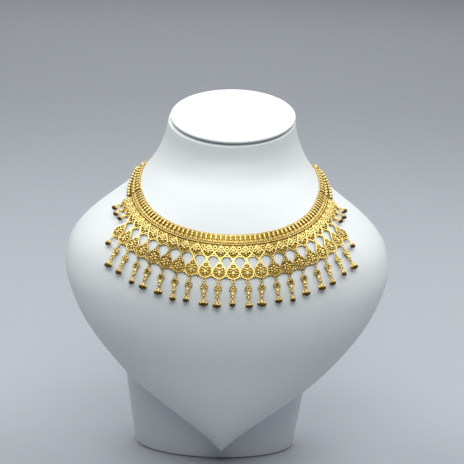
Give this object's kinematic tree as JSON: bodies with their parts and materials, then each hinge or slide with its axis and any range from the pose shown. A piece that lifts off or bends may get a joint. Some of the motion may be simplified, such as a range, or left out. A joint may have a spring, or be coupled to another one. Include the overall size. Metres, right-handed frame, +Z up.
{
  "type": "bib necklace on a neck bust",
  "caption": "Gold bib necklace of filigree rows with hanging drops, worn by a plain white neck bust on its stand.",
  "frame": {"origin": "on the floor, under the middle of the whole object's box", "axes": "+Z up, +Y towards the back of the bust, +X to the viewer's right when the bust is seen from its front"},
  "size_m": [0.2526, 0.1716, 0.2721],
  "materials": {
    "gold": "polished yellow gold with a fine granulated surface",
    "bust_skin": "smooth satin white skin",
    "bust_stand": "smooth satin white"
  },
  "bodies": {
    "root": {"bust_form": "bust_skin", "neck_cap": "bust_skin", "bust_stand": "bust_stand", "band_front": "gold", "strap_right": "gold", "strap_left": "gold", "rosette_row": "gold", "pear_row": "gold", "short_drop_01": "gold", "short_drop_02": "gold", "short_drop_03": "gold", "short_drop_04": "gold", "drop_05": "gold", "drop_06": "gold", "drop_07": "gold", "drop_08": "gold", "drop_09": "gold", "drop_10": "gold", "drop_11": "gold", "drop_12": "gold", "drop_13": "gold", "drop_14": "gold", "drop_15": "gold", "drop_16": "gold", "drop_17": "gold", "drop_18": "gold", "drop_19": "gold", "drop_20": "gold", "drop_21": "gold", "drop_22": "gold", "drop_23": "gold", "short_drop_24": "gold", "short_drop_25": "gold", "short_drop_26": "gold", "short_drop_27": "gold", "chain_right": "gold", "chain_left": "gold", "hook_clasp": "gold"}
  },
  "joints": []
}
